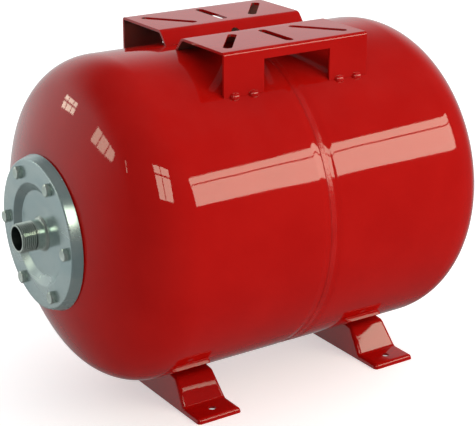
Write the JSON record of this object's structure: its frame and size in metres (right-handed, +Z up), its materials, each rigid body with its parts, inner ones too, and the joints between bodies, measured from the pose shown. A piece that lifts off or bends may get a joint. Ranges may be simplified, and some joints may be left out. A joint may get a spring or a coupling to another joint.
{
  "type": "expansion vessel",
  "caption": "Horizontal steel expansion vessel on two pressed feet, with a bladder, a bolted flange with a threaded water nipple, an air valve and top brackets for a pump.",
  "frame": {"origin": "on the floor under the middle of the overall length, below the tank's axis", "axes": "+X along the tank's axis towards the air valve, away from the water connection; +Y towards the far pump bracket; +Z up"},
  "size_m": [0.5836, 0.37, 0.4223],
  "materials": {
    "red_paint": "gloss",
    "zinc_plate": "satin",
    "zinc_bolts": "satin",
    "plain_steel": "satin",
    "spring_steel": "satin",
    "black_rubber": "matte",
    "brass": "satin",
    "black_plastic": "matte"
  },
  "bodies": {
    "vessel": {"front_shell": "red_paint", "rear_shell": "red_paint", "girth_weld": "red_paint", "neck_ring": "plain_steel", "bladder": "black_rubber", "flange_cover": "zinc_plate", "water_nipple": "zinc_plate", "nipple_weld": "zinc_plate", "flange_bolts": "zinc_bolts", "far_pump_bracket": "red_paint", "near_pump_bracket": "red_paint", "far_bracket_welds": "red_paint", "near_bracket_welds": "red_paint", "front_foot": "red_paint", "front_foot_welds": "red_paint", "rear_foot": "red_paint", "rear_foot_welds": "red_paint", "valve_boss": "red_paint", "boss_weld": "red_paint", "valve_seal": "black_rubber", "valve_stem": "brass", "valve_core": "brass", "core_spring": "spring_steel"},
    "valve_pin": {"valve_pin": "brass", "core_seal": "black_rubber"},
    "cap_lift": {"dust_cap_washer": "black_rubber"},
    "dust_cap": {"dust_cap": "black_plastic"},
    "valve_cover": {"valve_cover": "black_plastic"}
  },
  "joints": [
    {"name": "valve_pin_press", "type": "slide", "parent": "vessel", "child": "valve_pin", "axis": [-1, 0, 0], "range_m": [0, 0.001], "stiffness_N_per_m": 500, "springref_m": -0.002, "deforming": ["core_spring"]},
    {"name": "cap_travel", "type": "slide", "parent": "vessel", "child": "cap_lift", "axis": [1, 0, 0], "range_m": [0, 0.0034]},
    {"name": "cap_turn", "type": "hinge", "parent": "cap_lift", "child": "dust_cap", "pos_m": [0.284, 0, 0.2223], "axis": [1, 0, 0], "range_deg": [0, 1542]},
    {"name": "cover_pull", "type": "slide", "parent": "vessel", "child": "valve_cover", "axis": [1, 0, 0], "range_m": [0, 0.045]}
  ],
  "couplings": [
    {"joint": "cap_turn", "follows": "cap_travel", "rad_per_m": 7913.3}
  ]
}
